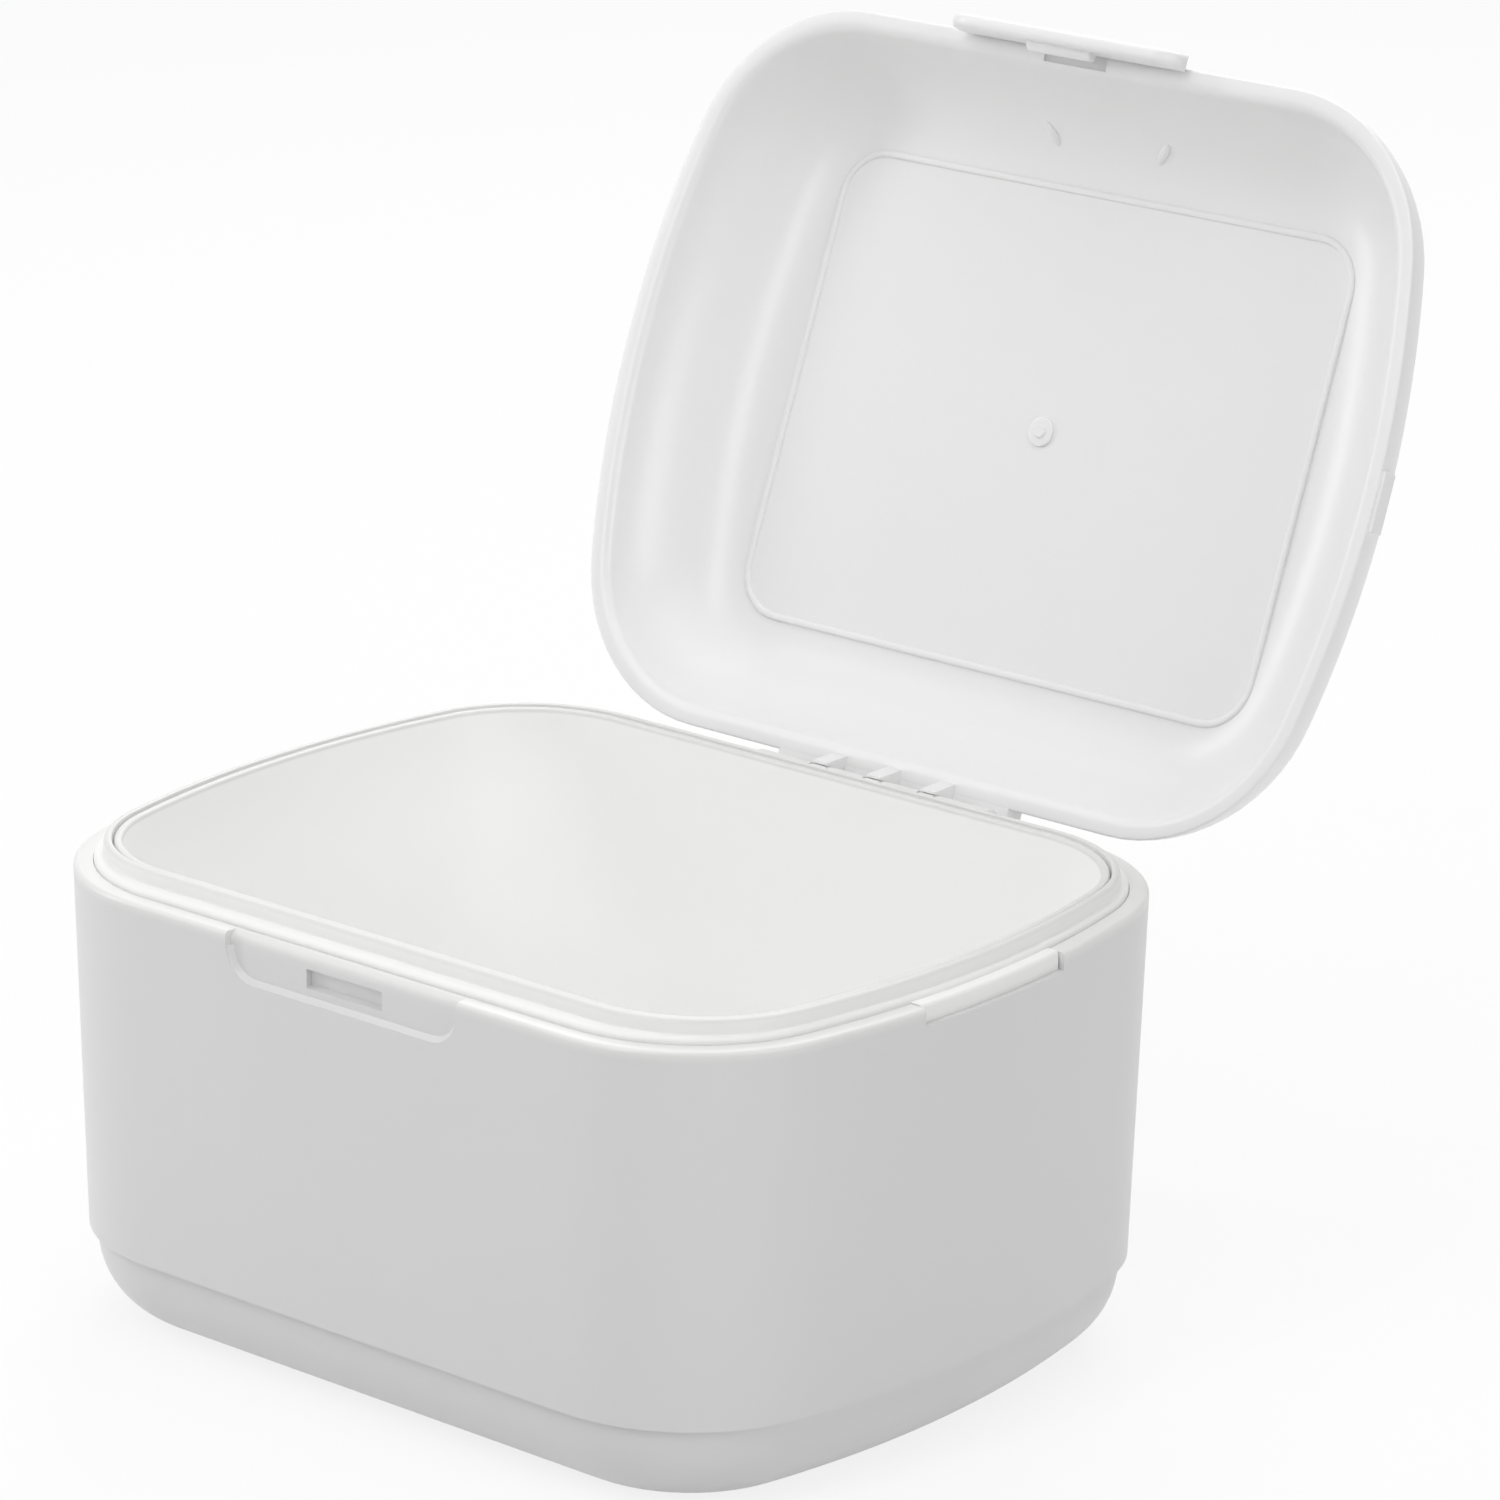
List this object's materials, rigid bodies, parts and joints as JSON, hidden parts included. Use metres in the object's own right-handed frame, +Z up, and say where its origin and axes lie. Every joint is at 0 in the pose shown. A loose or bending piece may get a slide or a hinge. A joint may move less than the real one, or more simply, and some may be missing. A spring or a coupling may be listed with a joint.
{
  "type": "denture soaking case",
  "caption": "Small white plastic soaking case with rounded corners, a back-hinged domed lid with a snap tab, a lift-out tub and a nested strainer basket.",
  "frame": {"origin": "centre of the flat underside of the base, with the lid leaning back open", "axes": "+Z up, -Y out of the front with the latch recess, +X along the front to the right as seen from in front"},
  "size_m": [0.1003, 0.1212, 0.1238],
  "materials": {
    "base_plastic": "satin moulded polypropylene, slightly greyer than the sleeve",
    "shell_plastic": "semi-gloss moulded white plastic",
    "tub_plastic": "semi-gloss moulded white polypropylene",
    "basket_plastic": "semi-gloss moulded white polypropylene",
    "pin_steel": "drawn stainless wire",
    "lid_plastic": "semi-gloss moulded white plastic, lightly mottled inside"
  },
  "bodies": {
    "case": {"outer_sleeve": "shell_plastic", "base_bowl": "base_plastic", "hinge_pin": "pin_steel"},
    "lid": {"lid_shell": "lid_plastic"},
    "latch": {"latch_tab": "lid_plastic"},
    "tub": {"soaking_tub": "tub_plastic"},
    "basket": {"strainer_basket": "basket_plastic"}
  },
  "joints": [
    {"name": "lid_hinge", "type": "hinge", "parent": "case", "child": "lid", "pos_m": [0, 0.0419, 0.0461], "axis": [1, 0, 0], "range_deg": [0, 111.25]},
    {"name": "latch_flex", "type": "hinge", "parent": "lid", "child": "latch", "pos_m": [0, 0.07716, 0.12133], "axis": [-1, 0, 0], "range_deg": [0, 12], "stiffness_Nm_per_rad": 0.1},
    {"name": "tub_lift", "type": "slide", "parent": "case", "child": "tub", "axis": [0, 0, 1], "range_m": [0, 0.062]},
    {"name": "basket_lift", "type": "slide", "parent": "tub", "child": "basket", "axis": [0, 0, 1], "range_m": [0, 0.062]}
  ]
}
